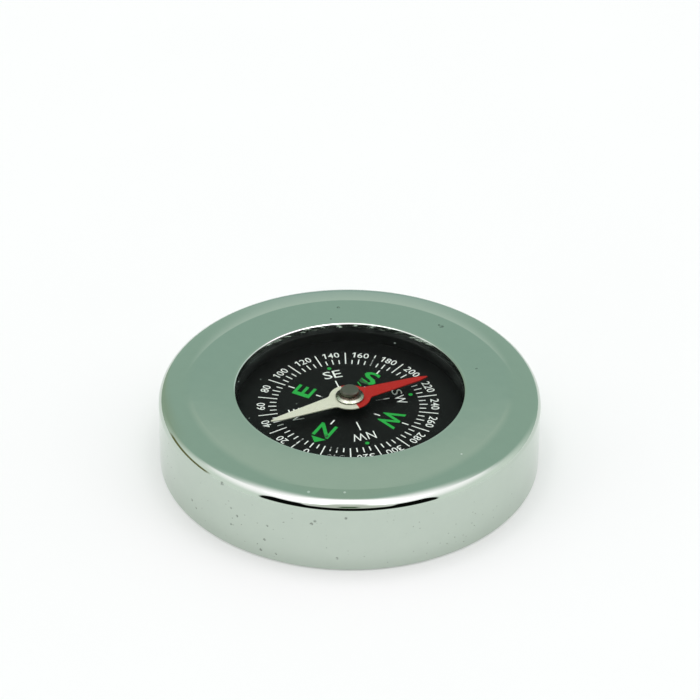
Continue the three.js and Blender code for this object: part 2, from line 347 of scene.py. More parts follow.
def piece(name, mesh, body, material, replaced=()):
    """A finished piece that rides on a body, and stands for the frame's nodes that it replaces."""
    shown = bpy.data.objects.new(name, mesh)
    bpy.context.scene.collection.objects.link(shown)
    if material:
        mesh.materials.clear()
        mesh.materials.append(material)
    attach(shown, body)
    if replaced:
        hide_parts(*replaced)
    return shown


def turned(name, points, sides=TURNED_SIDES):
    """A mesh turned round the z axis from an outline of radius and height in millimetres."""
    work = bmesh.new()
    rings = []
    for point in points:
        if point[0] < 1e-6:
            rings.append([work.verts.new((0, 0, point[1] * MM))])
            continue
        radius, height = point[0] * MM, point[1] * MM
        turns = [2 * math.pi * side / sides for side in range(sides)]
        ring = [(radius * math.cos(t), radius * math.sin(t), height) for t in turns]
        rings.append([work.verts.new(corner) for corner in ring])
    for lower, upper in zip(rings, rings[1:] + rings[:1]):
        if len(lower) == 1 and len(upper) == 1:
            continue
        for side in range(sides):
            after = (side + 1) % sides
            corners = [lower[side % len(lower)], lower[after % len(lower)]]
            corners += [upper[after % len(upper)], upper[side % len(upper)]]
            work.faces.new(list(dict.fromkeys(corners)))
    bmesh.ops.recalc_face_normals(work, faces=work.faces)
    mesh = bpy.data.meshes.new(name)
    work.to_mesh(mesh)
    work.free()
    smooth(mesh)
    return mesh


# Case

def case_outline():
    """The pressed case's section: rolled lip, flat top, curved band, rounded edge, straight wall."""
    top, foot, edge = case_high.z, case_low.z, case_high.x
    tilt = math.radians(BAND_TILT)
    bend = edge - EDGE_ROUND
    band = (bend + EDGE_ROUND * math.sin(tilt) - BAND_START) / math.sin(tilt)
    drop = band * (1 - math.cos(tilt))
    height = top - drop - EDGE_ROUND * math.cos(tilt)
    dip = math.radians(LIP_TILT)
    rolled = LIP_BEND - LIP_ROUND
    middle = Vector((WINDOW_RADIUS + LIP_ROUND + rolled * math.sin(dip), top - LIP_BEND))
    corner = middle + rolled * Vector((-math.sin(dip), math.cos(dip)))
    points = [Vector((WINDOW_RADIUS - LIP_LEAN, top - SHEET))]
    points += arc(corner, LIP_ROUND, -math.pi / 2, -dip, 6)
    points += arc(middle, LIP_BEND, -dip, 0, 24)[1:]
    points += arc(Vector((BAND_START, top - band)), band, 0, tilt, 40)
    points += arc(Vector((bend, height)), EDGE_ROUND, tilt, math.pi / 2, 32)[1:]
    bore, under = edge - SHEET, top - SHEET
    wall = [(edge, height - 0.1, 0), (edge, foot, FOOT_ROUND), (bore, foot, 0)]
    points += eased(wall, steps=8)
    points += [Vector(corner) for corner in ((bore, height), (bend, under - drop), (BAND_START, under))]
    return points


# Single marks of the chrome: where each is, and its radius
DARK_SPOTS = [
    ((15.35, -23.77, 15.8), 0.4), ((14.69, -19.41, 15.8), 0.25), ((-18.64, -17.89, 15.8), 0.3),
    ((-5.99, -27.69, 15.8), 0.6), ((-5.3, -27.9, 15.8), 0.35), ((7.85, 36.46, 13.7), 0.5),
    ((16.18, 33.61, 4.92), 0.35), ((15.0, 34.15, 3.79), 0.3), ((5.67, 36.87, 9.01), 0.3),
    ((4.28, 37.05, 7.75), 0.35), ((5.73, 36.86, 5.18), 0.3),
    ((-10.96, 35.65, 10.56), 0.4), ((-11.59, 35.45, 11.29), 0.35), ((-16.97, 33.22, 12.43), 0.35),
    ((-15.51, 33.92, 2.91), 0.35), ((-1.75, 37.26, 4.53), 0.35), ((-4.13, 37.07, 1.86), 0.3),
    ((-0.98, 37.29, 1.86), 0.35), ((-2.35, 37.23, 7.99), 0.3),
]
LIGHT_SPOTS = [((-8.84, 32.9, 15.5), 0.35), ((-14.89, 29.9, 15.55), 0.3), ((-28.76, 8.88, 15.8), 0.25)]

# The side of the window's lip where a highlight is painted, and the size of the wall's fine pits
LIP_HIGHLIGHT_BEARING = VIEW_BEARING + 135
PIT_SPACING = 0.9


def chrome(net):
    """Polished chrome with a slight haze, fine pits in the wall, single marks and a painted highlight on
    one side of the lip.
    """
    place = net.place()
    radius = net.radius(place)
    height = net.parts(place)[2]
    haze = net.noise(place, 3, 4, 0.6)
    gap = net.cells(place, PIT_SPACING)
    pick = net.parts(net.cells(place, PIT_SPACING, output="Color"))[0]
    crowd = net.noise(place, 8, 1).rise(0.42, 0.62)
    on_wall = 1 - height.rise(12, 14)
    pits = (1 - gap.rise(0.08, 0.2)) * pick.rise(0.6, 0.66) * (0.04 + 0.96 * on_wall * crowd)
    dark = net.specks(place, DARK_SPOTS) * net.noise(place, 0.3, 2).rise(0.3, 0.55)
    clean_and_painted_highlight = net.blend(haze, (0.504, 0.581, 0.512), (0.536, 0.614, 0.54))
    color = net.blend(net.either(pits * 0.55, dark * 0.6), clean_and_painted_highlight, (0.09, 0.1, 0.085))
    side = net.toward(place, LIP_HIGHLIGHT_BEARING) / radius
    on_lip = height.rise(LIP_FOOT, LIP_FOOT + 0.1)
    # Painted highlight: the lip's top is made brighter on one side, set from the camera's bearing
    wear_and_painted_light = (1 - radius.rise(WINDOW_RADIUS + 0.15, WINDOW_RADIUS + 0.3)) * side.rise(0.6, 0.75) * on_lip
    bright = net.either(net.specks(place, LIGHT_SPOTS), wear_and_painted_light)
    color = net.blend(bright, color, (0.95, 0.95, 0.93))
    in_bore = (1 - radius.rise(WINDOW_RADIUS + 0.04, WINDOW_RADIUS + 0.1)) * (1 - on_lip)
    rough = 0.022 + 0.025 * haze + 0.3 * pits + 0.045 * in_bore
    normal = net.bump(net.noise(place, 3.5, 1), 0.003)
    net.surface({"Base Color": color, "Metallic": 1.0, "Roughness": rough, "Normal": normal})


def make_case():
    mesh = turned("case_ring", case_outline())
    plated = finish("polished_chrome", chrome)
    piece("case_ring", mesh, "case", plated, ["case_shell"])


# Window

def lens_outline():
    outer = dome(LENS_NECK, LENS_EDGE, lens_high.z)
    flange = lens_high.x
    seat = lens_low.z
    corners = [(LENS_NECK, FLANGE_TOP), (flange, FLANGE_TOP), (flange, seat)]
    inner = dome(LENS_NECK - LENS_THICKNESS, seat, lens_high.z - LENS_THICKNESS)
    return outer + [Vector(corner) for corner in corners] + inner[::-1]


# Single specks of dust on the lens, seen from above, and the spacing of the finer ones
LENS_SPOTS = [
    ((-0.23, -18.52, 0), 0.24), ((20.73, 7.4, 0), 0.16), ((16.92, 5.35, 0), 0.16),
    ((12.83, 17.13, 0), 0.14), ((6.38, 9.92, 0), 0.14),
]
DUST_SPACING = 1.9


def clear_lens(net):
    """Clear plastic with dust on its outer face. A faint greyish veil on that face is painted
    reflection, strongest near the rim on the side away from the camera.
    """
    place = net.place()
    radius = net.radius(place)
    height = net.parts(place)[2]
    back = net.toward(place, VIEW_BEARING + 180) / radius
    gap = net.cells(place, DUST_SPACING)
    pick = net.parts(net.cells(place, DUST_SPACING, output="Color"))[0]
    dust = (1 - gap.rise(0.02, 0.06)) * pick.rise(0.9, 0.95)
    specks = net.either(dust, net.specks(net.vector("MULTIPLY", place, LEVEL), LENS_SPOTS))
    reflection_patches = net.noise(place, 4, 3, 0.6).rise(0.35, 0.65)
    crown = lens_high.z - (lens_high.z - LENS_EDGE) * (radius / LENS_NECK) ** 2
    outside = (height - crown).rise(-0.4, -0.3)
    # Painted reflection: a greyish veil near the rim, on the side away from the camera
    painted_back_reflection = 0.003 + 0.05 * radius.rise(20, 21.9) * back.rise(-0.3, 0.6) * (0.3 + 0.7 * reflection_patches)
    facing = net.out("ShaderNodeLayerWeight", None, {"Blend": 0.5}, "Facing")
    clear = 0.008 + 0.1 * facing ** 4
    dust_and_painted_reflection = outside * (painted_back_reflection + 0.7 * specks)
    alpha = clear + dust_and_painted_reflection
    color = net.blend(dust_and_painted_reflection / alpha, (0.02, 0.024, 0.022), (0.42, 0.52, 0.46))
    net.surface({"Base Color": color, "Roughness": 0.03, "Alpha": alpha, "IOR": 1.49})


def gasket_rubber(net):
    place = net.place()
    grain = net.noise(place, 0.4, 3)
    color = net.blend(grain, (0.006, 0.007, 0.0065), (0.014, 0.015, 0.014))
    net.surface({"Base Color": color, "Roughness": 0.65, "Normal": net.bump(grain, 0.01)})


def cup_black(net):
    place = net.place()
    haze = net.noise(place, 1.5, 3)
    color = net.blend(haze, (0.009, 0.0105, 0.0098), (0.016, 0.018, 0.017))
    rough = 0.22 + 0.18 * haze
    sockets = {"Base Color": color, "Roughness": rough, "Specular IOR Level": 0.2}
    net.surface({**sockets, "Normal": net.bump(haze, 0.01)})


def make_window():
    lens = turned("lens", lens_outline())
    piece("lens", lens, "case", finish("clear_lens", clear_lens), ["crystal"])
    low, high = gasket_low.z, gasket_high.z
    edge = gasket_high.x
    corners = [(GASKET_BORE, low, 0.05), (edge, low, 0), (edge, high, 0), (GASKET_BORE, high, 0.05)]
    ring = turned("window_washer", eased(corners, steps=4))
    rubber = finish("gasket_rubber", gasket_rubber)
    piece("window_washer", ring, "case", rubber, ["window_gasket"])
    foot, rim, edge = cup_low.z, cup_high.z, cup_high.x
    floor_top = dial_low.z
    corners = [
        (DIAL_HOLE, CUP_UNDER, 0), (CUP_SKIRT, CUP_UNDER, 0.3), (CUP_SKIRT, foot, 0.2),
        (edge, foot, 0.2), (edge, rim, 0.1), (CUP_REBATE, rim, 0.1), (CUP_REBATE, CUP_SEAT, 0.1),
        (CUP_BORE, CUP_SEAT, 0.15), (CUP_BORE, floor_top, 0.1), (DIAL_HOLE, floor_top, 0),
    ]
    cup = turned("cup", eased(corners))
    piece("cup", cup, "case", finish("cup_black", cup_black), ["capsule_cup"])


# Dial

def dial_black(net):
    place = net.place()
    grain = net.noise(place, 0.25, 2)
    haze = net.noise(place, 5, 3)
    color = net.blend(haze, (0.003, 0.0036, 0.0033), (0.005, 0.0058, 0.0054))
    rough = 0.3 + 0.12 * haze
    sockets = {"Base Color": color, "Roughness": rough, "Specular IOR Level": 0.08}
    net.surface({**sockets, "Normal": net.bump(grain, 0.002)})


# Print: it lies a little off the axis and is stretched a little, as printed
PRINT_SHIFT = Vector((0.3, 0.16))
PRINT_SUNK = 0.01
PRINT_PROUD = 0.015
PRINT_STRETCH = 0.015

# Numerals, by the radius of their feet
NUMERAL_RADIUS = 16.22
NUMERAL_STEP = 20
DIGIT_PITCH = 1.23
DIGIT_WIDTH = 1.05
DIGIT_BOLD = 0.002
FIGURE_HEIGHT = 1.65
FIGURE_ONE = [(0, 0), (0.28, 0), (0.28, 1.65), (0.04, 1.65), (-0.34, 1.36), (-0.34, 1.1), (0, 1.32)]

# Letters of the points of the compass
SMALL_WIDTHS = {"N": 1.65, "S": 1.65, "E": 1.65, "W": 2.7}
SMALL_BOLD = -0.004
LETTER_GAP = 0.33
MAIN_BOLD = 0.016

# Bars of the dial: how many, their bearings, and sizes in millimetres
BARS = {
    "ticks_five": dict(Count=36, Start=5, Step=10, Inner=14.0, Outer=15.3, Width=0.24),
    "ticks_twenty": dict(Count=18, Start=0, Step=20, Inner=14.0, Outer=15.6, Width=0.24),
    "ticks_ten": dict(Count=18, Start=10, Step=20, Inner=14.0, Outer=17.8, Width=0.24),
    "lines_between": dict(Count=4, Start=45, Step=90, Inner=5.7, Outer=8.5, Width=0.25),
    "lines_inner": dict(Count=4, Start=0, Step=90, Inner=5.6, Outer=7.1, Width=0.27),
    "lines_outer": dict(Count=3, Start=90, Step=90, Inner=11.9, Outer=13.3, Width=0.27),
}

# Dimmed places of the print: bearing, radius, step across and size. Most are rubbed wear; the two at 225
# in the white list are painted needle shadow.
WHITE_WORN_AND_SHADED = [
    (170, 14.3, 0, 0.7), (170, 15.0, 0, 0.7), (170, 15.8, 0, 0.7), (170, 16.6, 0, 0.7),
    (340, 16.8, -1.3, 1.0), (340, 16.8, 0, 1.0), (340, 16.8, 1.3, 1.0),
    (345, 14.6, 0, 0.5), (340, 14.7, 0, 0.5), (90, 5.75, 0, 0.45), (270, 5.6, 0, 0.4),
    # The two places at 225 paint the needle's shadow on the south-west line
    (225, 5.9, 0, 0.6), (225, 6.8, 0, 0.6), (10, 16.4, 0, 0.3), (10, 14.7, 0, 0.6),
]
GREEN_WORN = [(0, 11.1, -1.1, 0.65)]
SOUTH_WORN = [
    (180, 8.1, -0.5, 0.75), (180, 8.3, -1.3, 0.75), (180, 8.6, -2.0, 0.75),
    (180, 9.3, -1.7, 0.75), (180, 9.2, -0.9, 0.75),
]


def ink(light, dark, worn_and_shaded):
    """Printed ink, a little uneven, and dimmed to grey at the given places: rubbed wear, and in the
    white list also painted needle shadow.
    """
    spots = [rubbed_spot(*spot) for spot in worn_and_shaded]

    def build(net):
        place = net.place()
        patch = net.noise(place, 0.35, 3)
        color = net.blend(patch.rise(0.5, 0.8), light, dark)
        # Dims the print at the given places: rubbed wear, and painted needle shadow where the list holds
        # it
        wear_and_painted_light = net.specks(place, spots) * patch.rise(0.3, 0.45)
        color = net.blend(wear_and_painted_light * 0.88, color, (0.03, 0.034, 0.032))
        net.surface({"Base Color": color, "Roughness": 0.45, "Specular IOR Level": 0.15})
    return build


def rubbed_spot(bearing, radius, across, size):
    """A place where the print is dimmed: its centre and its radius, in millimetres. Most are wear; two
    are painted needle shadow.
    """
    spot = on_dial(bearing, radius)
    turn = math.radians(bearing)
    spot += across * Vector((math.cos(turn), -math.sin(turn)))
    return (spot.x, spot.y, dial_high.z), size


def stretched(mesh):
    """The print, stretched a little along the way it was printed."""
    turn = math.radians(VIEW_BEARING)
    way = Vector((math.sin(turn), math.cos(turn), 0))
    for corner in mesh.vertices:
        corner.co += PRINT_STRETCH * corner.co.dot(way) * way
    return mesh


def on_dial(bearing, radius):
    """The point of the print at a bearing and a radius, in millimetres."""
    turn = math.radians(bearing)
    return PRINT_SHIFT + radius * Vector((math.sin(turn), math.cos(turn)))


def printed(name, mesh, material):
    return piece(name, mesh, "case", material)


def tick_tree():
    """Bars set round a circle: a count, a start and a step in degrees, and sizes in metres."""
    tree = bpy.data.node_groups.new("dial_bars", "GeometryNodeTree")
    face = tree.interface
    face.new_socket("Geometry", in_out="OUTPUT", socket_type="NodeSocketGeometry")
    face.new_socket("Count", in_out="INPUT", socket_type="NodeSocketInt")
    sizes = ("Start", "Step", "Inner", "Outer", "Width", "Thickness", "Height", "Shift X", "Shift Y")
    for name in sizes:
        face.new_socket(name, in_out="INPUT", socket_type="NodeSocketFloat")
    face.new_socket("Ink", in_out="INPUT", socket_type="NodeSocketMaterial")
    net = Net(tree)
    entry = net.node("NodeGroupInput")
    given = {socket.name: Wire(net, socket) for socket in entry.outputs if socket.name}
    index = net.out("GeometryNodeInputIndex")
    turn = (given["Start"] + index * given["Step"]) * math.radians(1)
    middle = (given["Inner"] + given["Outer"]) * 0.5
    sine, cosine = turn.math("SINE"), turn.math("COSINE")
    spot = net.out("ShaderNodeCombineXYZ", None, {
        0: middle * sine + given["Shift X"], 1: middle * cosine + given["Shift Y"], 2: given["Height"],
    })
    points = net.out("GeometryNodePoints", None, {"Count": given["Count"], "Position": spot})
    size = net.out("ShaderNodeCombineXYZ", None, {
        0: given["Width"], 1: given["Outer"] - given["Inner"], 2: given["Thickness"],
    })
    bar = net.out("GeometryNodeMeshCube", None, {"Size": size})
    spin = net.out("ShaderNodeCombineXYZ", None, {2: turn * -1})
    bars_set = {"Points": points, "Instance": bar, "Rotation": spin}
    placed = net.out("GeometryNodeInstanceOnPoints", None, bars_set)
    real = net.out("GeometryNodeRealizeInstances", None, {0: placed})
    inked = net.out("GeometryNodeSetMaterial", None, {"Geometry": real, "Material": given["Ink"]})
    net.node("NodeGroupOutput", None, {0: inked})
    return tree


def bars(name, tree, material, **sizes):
    """A mesh of bars from the tree, with its inputs set by name."""
    carrier = bpy.data.objects.new(name, bpy.data.meshes.new(name))
    bpy.context.scene.collection.objects.link(carrier)
    modifier = carrier.modifiers.new("bars", "NODES")
    modifier.node_group = tree
    lengths = {"Inner", "Outer", "Width", "Thickness", "Height"}
    values = {"Shift X": PRINT_SHIFT.x * MM, "Shift Y": PRINT_SHIFT.y * MM, "Ink": material}
    for key, value in sizes.items():
        values[key] = value * MM if key in lengths else value
    for item in tree.interface.items_tree:
        if item.in_out == "INPUT":
            modifier[item.identifier] = values[item.name]
    mesh = evaluated(carrier)
    mesh.name = name
    return stretched(mesh)


def evaluated(carrier):
    """The plain mesh of an object with its modifiers applied; the object itself is removed."""
    graph = bpy.context.evaluated_depsgraph_get()
    mesh = bpy.data.meshes.new_from_object(carrier.evaluated_get(graph), depsgraph=graph)
    bpy.data.objects.remove(carrier)
    return mesh


def letter(text, height, width, bold):
    """One flat raised letter as a mesh, centred, with its foot on the x axis, in millimetres."""
    curve = bpy.data.curves.new(text, "FONT")
    curve.body = text
    curve.size = 1
    curve.offset = bold
    curve.extrude = 0.1
    curve.resolution_u = 3
    carrier = bpy.data.objects.new(text, curve)
    bpy.context.scene.collection.objects.link(carrier)
    mesh = evaluated(carrier)
    xs = [v.co.x for v in mesh.vertices]
    ys = [v.co.y for v in mesh.vertices]
    tall = height / (max(ys) - min(ys))
    wide = width / (max(xs) - min(xs))
    thick = (PRINT_SUNK + PRINT_PROUD) / 0.2
    middle = (max(xs) + min(xs)) / 2
    for v in mesh.vertices:
        v.co = ((v.co.x - middle) * wide, (v.co.y - min(ys)) * tall, v.co.z * thick)
    return mesh


def figure(digit):
    """One digit. The 1 has its own corners, because the font's 1 is a plain block at this width."""
    if digit == "1":
        return flat_shape(FIGURE_ONE)
    return letter(digit, FIGURE_HEIGHT, DIGIT_WIDTH, DIGIT_BOLD)


def numeral(bearing):
    """The digits of a bearing, each with its place on the dial."""
    digits = str(bearing)
    middle = (len(digits) - 1) / 2
    places = [(i - middle) * DIGIT_PITCH for i in range(len(digits))]
    return [(figure(digit), bearing, NUMERAL_RADIUS, across) for digit, across in zip(digits, places)]


def point_name(letters, bearing, radius, height):
    """Two thin letters side by side, each with its place on the dial."""
    widths = [SMALL_WIDTHS[name] for name in letters]
    total = sum(widths) + LETTER_GAP
    places = [(widths[0] - total) / 2, (total - widths[1]) / 2]
    return [
        (letter(name, height, width, SMALL_BOLD), bearing, radius, across)
        for name, width, across in zip(letters, widths, places)
    ]


def set_on_dial(name, parts):
    """One mesh of parts in millimetres, each set by a bearing, its foot's radius and a step across."""
    work = bmesh.new()
    for mesh, bearing, radius, across in parts:
        start = len(work.verts)
        work.from_mesh(mesh)
        work.verts.ensure_lookup_table()
        foot = on_dial(bearing, radius)
        height = dial_high.z + (PRINT_PROUD - PRINT_SUNK) / 2
        spin = Matrix.Rotation(-math.radians(bearing), 4, "Z") @ Matrix.Translation((across, 0, 0))
        move = Matrix.Translation((foot.x, foot.y, height)) @ spin
        bmesh.ops.transform(work, matrix=Matrix.Scale(MM, 4) @ move, verts=work.verts[start:])
    bmesh.ops.remove_doubles(work, verts=work.verts, dist=1e-7)
    bmesh.ops.recalc_face_normals(work, faces=work.faces)
    made = bpy.data.meshes.new(name)
    work.to_mesh(made)
    work.free()
    return stretched(made)


def flat_shape(corners):
    """A raised plate with the given corners, in millimetres."""
    work = bmesh.new()
    half = (PRINT_SUNK + PRINT_PROUD) / 2
    lower = [work.verts.new((x, y, -half)) for x, y in corners]
    upper = [work.verts.new((x, y, half)) for x, y in corners]
    work.faces.new(upper)
    work.faces.new(lower[::-1])
    for i in range(len(corners)):
        j = (i + 1) % len(corners)
        work.faces.new([lower[i], lower[j], upper[j], upper[i]])
    mesh = bpy.data.meshes.new("plate")
    work.to_mesh(mesh)
    work.free()
    return mesh


def disc(radius, sides=20):
    turns = [2 * math.pi * side / sides for side in range(sides)]
    return flat_shape([(radius * math.cos(t), radius * math.sin(t)) for t in turns])


def make_dial():
    edge, low, high = dial_high.x, dial_low.z, dial_high.z
    corners = [(DIAL_HOLE, low, 0), (edge, low, 0), (edge, high, 0.05), (DIAL_HOLE, high, 0.05)]
    mesh = turned("dial_face", eased(corners, steps=3))
    piece("dial_face", mesh, "case", finish("dial_black", dial_black), ["dial_plate"])
    white = finish("white_ink", ink((0.86, 0.95, 0.87), (0.62, 0.68, 0.63), WHITE_WORN_AND_SHADED))
    green_light, green_dark = (0.02, 0.42, 0.06), (0.016, 0.34, 0.045)
    green = finish("green_ink", ink(green_light, green_dark, GREEN_WORN))
    rubbed_green = finish("rubbed_green_ink", ink(green_light, green_dark, GREEN_WORN + SOUTH_WORN))
    tree = tick_tree()
    level = {"Thickness": PRINT_SUNK + PRINT_PROUD, "Height": high + (PRINT_PROUD - PRINT_SUNK) / 2}
    for name, sizes in BARS.items():
        printed(name, bars(name, tree, white, **level, **sizes), white)
    numerals = [part for bearing in range(0, 360, NUMERAL_STEP) for part in numeral(bearing)]
    printed("numerals", set_on_dial("numerals", numerals), white)
    small = point_name("NE", 45, 9.4, 2.33) + point_name("SE", 135, 9.5, 2.4)
    small += point_name("SW", 225, 9.5, 2.0) + point_name("NW", 315, 9.4, 2.33)
    printed("small_points", set_on_dial("small_points", small), white)
    main = [
        (letter("N", 4.3, 3.5, MAIN_BOLD), 0, 7.3, 0),
        (letter("E", 3.8, 3.4, MAIN_BOLD), 90, 7.85, 0),
        (letter("S", 4.15, 3.35, MAIN_BOLD), 180, 7.95, -0.4),
        (letter("W", 4.25, 5.45, MAIN_BOLD), 270, 7.2, 0),
    ]
    printed("main_points", set_on_dial("main_points", main), rubbed_green)
    slashes = [
        (flat_shape([(-1.99, 9.45), (-1.99, 9.15), (-0.36, 8.56), (-0.36, 8.86)]), 180, 0, 0),
        (flat_shape([(-1.98, 7.95), (-1.98, 7.65), (-0.8, 6.82), (-0.8, 7.1)]), 180, 0, 0),
    ]
    printed("south_slashes", set_on_dial("south_slashes", slashes), green)
    arrow = [(flat_shape([(-1.55, 0), (1.55, 0), (0, 1.65)]), 0, 12.05, 0)]
    printed("north_arrow", set_on_dial("north_arrow", arrow), green)
    dots = [(disc(0.42), bearing, 12.85, 0) for bearing in (45, 135, 225, 315)]
    printed("point_dots", set_on_dial("point_dots", dots), green)


# Pivot

def grained_metal(size, detail, dark, light, smoothest, spread):
    """Plain metal with a fine grain, which varies its colour and roughness."""
    def build(net):
        grain = net.noise(net.place(), size, detail)
        color = net.blend(grain, dark, light)
        net.surface({"Base Color": color, "Metallic": 1.0, "Roughness": smoothest + spread * grain})
    return build


turned_brass = grained_metal(0.2, 2, (0.6, 0.44, 0.17), (0.7, 0.53, 0.25), 0.25, 0.15)
ground_steel = grained_metal(0.1, 2, (0.48, 0.49, 0.5), (0.6, 0.61, 0.62), 0.18, 0.12)
dull_grey = grained_metal(0.15, 3, (0.115, 0.12, 0.095), (0.16, 0.165, 0.13), 0.34, 0.12)
nickel = grained_metal(0.2, 3, (0.5, 0.49, 0.46), (0.62, 0.61, 0.58), 0.22, 0.15)


def make_pivot():
    foot, top, seat = bush_low.z, bush_high.z, CUP_UNDER
    corners = [
        (0, foot, 0), (BUSH_HEAD, foot, 0.1), (BUSH_HEAD, seat, 0), (BUSH_STEM, seat, 0),
        (BUSH_STEM, top, 0.15), (BUSH_BORE, top, 0.1), (BUSH_BORE, seat, 0), (0, seat, 0),
    ]
    mesh = turned("bush", eased(corners, steps=4), BUSH_SIDES)
    piece("bush", mesh, "case", finish("turned_brass", turned_brass), ["pivot_bush"])
    radius, foot, tip = pin_high.x, pin_low.z, pin_high.z
    shank = [(0, foot), (radius, foot), (radius, tip - PIN_TAPER)]
    point = [(PIN_POINT, tip - PIN_POINT / 2), (0, tip)]
    mesh = turned("pin", [Vector(corner) for corner in shank + point], PIN_SIDES)
    piece("pin", mesh, "case", finish("ground_steel", ground_steel), ["pivot_pin"])


# Needle

def needle_paint(net):
    place = net.place()
    red_end = net.toward(place, NEEDLE_BEARING).rise(-0.03, 0.03)
    mottle = net.noise(place, 0.8, 3)
    red = net.blend(mottle, (0.37, 0.014, 0.01), (0.45, 0.02, 0.015))
    cream = net.blend(mottle, (0.6, 0.65, 0.5), (0.68, 0.73, 0.57))
    color = net.blend(red_end, cream, red)
    sockets = {"Base Color": color, "Roughness": 0.45 + 0.15 * mottle, "Specular IOR Level": 0.12}
    net.surface({**sockets, "Normal": net.bump(mottle, 0.02)})


# The bearing of the collar's side that keeps a painted bright reflection
LIT_SIDE_BEARING = VIEW_BEARING - 8


def bright_metal(net):
    """The collar's bright metal, with painted shade near the cap and a painted dark reflection round the
    side turned from the camera, so only a crescent towards the camera stays bright.
    """
    place = net.place()
    grain = net.noise(place, 0.3, 2)
    radius = net.radius(place)
    side = net.toward(place, LIT_SIDE_BEARING) / radius
    # Painted shade near the cap, and a painted reflection that leaves only the side towards the camera
    # bright
    clean_and_painted_highlight = radius.rise(2.05, 2.4) * (side + 0.3 * grain).rise(-0.05, 0.6)
    color = net.blend(grain, (0.43, 0.47, 0.37), (0.5, 0.55, 0.44))
    color = net.blend(clean_and_painted_highlight, (0.06, 0.05, 0.035), color)
    net.surface({"Base Color": color, "Metallic": 1.0, "Roughness": 0.2 + 0.15 * grain})


def jewel_red(net):
    depth = net.noise(net.place(), 0.3, 1)
    color = net.blend(depth, (0.25, 0.015, 0.035), (0.35, 0.025, 0.05))
    net.surface({"Base Color": color, "Roughness": 0.08, "Coat Weight": 0.6})


RING_STEPS = 32


def blade_outline():
    """The blade's outline along its own length: a ring with a tapering arm each way."""
    points = []
    for side in (1, -1):
        shoulder = side * (NEEDLE_REACH - POINT_LENGTH)
        root = side * RING_RADIUS * math.cos(math.asin(ARM_ROOT / RING_RADIUS))
        arm = [Vector((side * ARM_SHOULDER, shoulder)), Vector((side * ARM_TIP, side * NEEDLE_REACH))]
        arm += [Vector((-spot.x, spot.y)) for spot in arm[::-1]]
        corner = Vector((side * ARM_ROOT, root))
        way = (arm[0] - corner).normalized()
        bend = fillet(corner, way, side)
        points += bend + arm + [Vector((-spot.x, spot.y)) for spot in bend[::-1]]
        first = math.atan2(bend[0].y, -bend[0].x)
        last = math.atan2(-bend[0].y, -bend[0].x)
        sweep = (last - first) % (2 * math.pi)
        turns = [first + sweep * step / RING_STEPS for step in range(1, RING_STEPS)]
        points += [RING_RADIUS * Vector((math.cos(turn), math.sin(turn))) for turn in turns]
    return points


FILLET_TRIES = 40


def fillet(corner, way, side, steps=6):
    """The hollow round between the ring and an arm's edge that runs out from a corner on the ring."""
    out = Vector((way.y, -way.x)) * side
    out = out if out.x * side > 0 else -out
    low, high = 0.0, NEEDLE_REACH
    for _ in range(FILLET_TRIES):
        along = (low + high) / 2
        centre = corner + way * along + out * RING_FILLET
        low, high = (along, high) if centre.length < RING_RADIUS + RING_FILLET else (low, along)
    centre = corner + way * high + out * RING_FILLET
    start = -centre.normalized() * RING_FILLET
    end = -out * RING_FILLET
    turn = start.angle_signed(end)
    return [centre + Matrix.Rotation(-turn * step / steps, 2) @ start for step in range(steps + 1)]


def make_blade():
    curve = bpy.data.curves.new("needle_arrow", "CURVE")
    curve.dimensions = "2D"
    curve.fill_mode = "BOTH"
    turns = [2 * math.pi * side / NEEDLE_SIDES for side in range(NEEDLE_SIDES)]
    hole = [RING_HOLE * Vector((math.cos(turn), math.sin(turn))) for turn in turns]
    for loop in (blade_outline(), hole):
        spline = curve.splines.new("POLY")
        spline.points.add(len(loop) - 1)
        for point, spot in zip(spline.points, loop):
            point.co = (spot.x, spot.y, 0, 1)
        spline.use_cyclic_u = True
    curve.extrude = BLADE_THICKNESS / 2 - BLADE_EDGE
    curve.bevel_depth = BLADE_EDGE
    curve.bevel_resolution = 2
    curve.offset = -BLADE_EDGE
    carrier = bpy.data.objects.new("needle_arrow", curve)
    bpy.context.scene.collection.objects.link(carrier)
    mesh = evaluated(carrier)
    arm = NEEDLE_REACH - RING_RADIUS
    for corner in mesh.vertices:
        corner.co.z -= NEEDLE_DROOP * max(0, abs(corner.co.y) - RING_RADIUS) / arm
    lift = Matrix.Translation((0, 0, blade_high.z - BLADE_THICKNESS / 2))
    turn = Matrix.Rotation(-math.radians(NEEDLE_BEARING), 4, "Z")
    mesh.transform(Matrix.Scale(MM, 4) @ turn @ lift)
    work = bmesh.new()
    work.from_mesh(mesh)
    bmesh.ops.remove_doubles(work, verts=work.verts, dist=1e-7)
    bmesh.ops.recalc_face_normals(work, faces=work.faces)
    work.to_mesh(mesh)
    work.free()
    smooth(mesh)
    paint = finish("needle_paint", needle_paint)
    piece("needle_arrow", mesh, "needle", paint, ["needle_blade"])


def make_collar():
    disc, foot, top = collar_high.x, collar_low.z, collar_high.z
    seat = blade_high.z - BLADE_THICKNESS
    rim = blade_high.z + FLARE_LIFT
    under = rim - FLARE_EDGE
    corners = [
        (COLLAR_BORE, foot, 0), (disc, foot, 0.08), (disc, seat, 0.08), (COLLAR_SLEEVE, seat, 0.1),
        (COLLAR_SLEEVE, under, 0.05), (FLARE_RADIUS, under, 0.03), (FLARE_RADIUS, rim, 0.03),
        (COLLAR_BORE + FLARE_LAND, top, 0.05), (COLLAR_BORE, top, 0),
    ]
    mesh = turned("needle_flare", eased(corners, steps=4, hold=0.005), NEEDLE_SIDES)
    metal = finish("bright_metal", bright_metal)
    piece("needle_flare", mesh, "needle", metal, ["needle_collar"])


